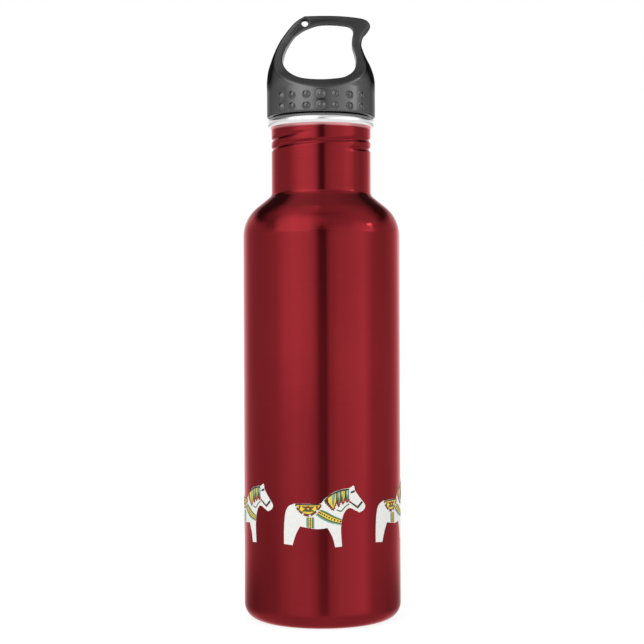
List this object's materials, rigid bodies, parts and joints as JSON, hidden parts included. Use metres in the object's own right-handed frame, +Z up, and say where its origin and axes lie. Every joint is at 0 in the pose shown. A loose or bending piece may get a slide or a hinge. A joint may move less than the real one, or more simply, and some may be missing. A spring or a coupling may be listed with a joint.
{
  "type": "water bottle",
  "caption": "Tall single-wall steel drinking bottle with a narrow threaded neck, a screw-in plastic loop cap and a printed band of painted-style folk horses.",
  "frame": {"origin": "centre of the circle that the bottle stands on", "axes": "+Z up along the bottle's axis, -Y towards the front, where one horse is centred, +X to the right, the side of the cap's hook"},
  "size_m": [0.0734, 0.0732, 0.28],
  "materials": {
    "lacquer": "glossy translucent red lacquer over brushed steel",
    "bare_steel": "polished bare steel",
    "gasket": "smooth silicone",
    "cap_plastic": "satin dark grey moulded plastic",
    "print_white": "flat white ink",
    "print_yellow": "flat yellow ink with leaf pattern",
    "print_green": "flat green and teal ink",
    "print_teal": "flat teal ink with zigzag pattern",
    "print_dark": "flat dark green ink"
  },
  "bodies": {
    "bottle": {"body_shell": "lacquer", "base_plate": "lacquer", "mouth_lip": "bare_steel", "horse_1_base": "print_white", "horse_1_saddle": "print_yellow", "horse_1_harness": "print_green", "horse_1_mane": "print_teal", "horse_1_bridle": "print_dark", "horse_2_base": "print_white", "horse_2_saddle": "print_yellow", "horse_2_harness": "print_green", "horse_2_mane": "print_teal", "horse_2_bridle": "print_dark", "horse_3_base": "print_white", "horse_3_saddle": "print_yellow", "horse_3_harness": "print_green", "horse_3_mane": "print_teal", "horse_3_bridle": "print_dark", "horse_4_base": "print_white", "horse_4_saddle": "print_yellow", "horse_4_harness": "print_green", "horse_4_mane": "print_teal", "horse_4_bridle": "print_dark", "horse_5_base": "print_white", "horse_5_saddle": "print_yellow", "horse_5_harness": "print_green", "horse_5_mane": "print_teal", "horse_5_bridle": "print_dark"},
    "gasket": {"cap_gasket": "gasket"},
    "cap": {"cap_plug": "cap_plastic", "cap_shell": "cap_plastic"}
  },
  "joints": [
    {"name": "cap_lift", "type": "slide", "parent": "bottle", "child": "gasket", "axis": [0, 0, 1], "range_m": [0, 0.0252]},
    {"name": "cap_turn", "type": "hinge", "parent": "gasket", "child": "cap", "pos_m": [0, 0, 0.24], "axis": [0, 0, 1], "range_deg": [0, 1080]}
  ],
  "couplings": [
    {"joint": "cap_lift", "follows": "cap_turn", "m_per_rad": 0.0013369}
  ]
}
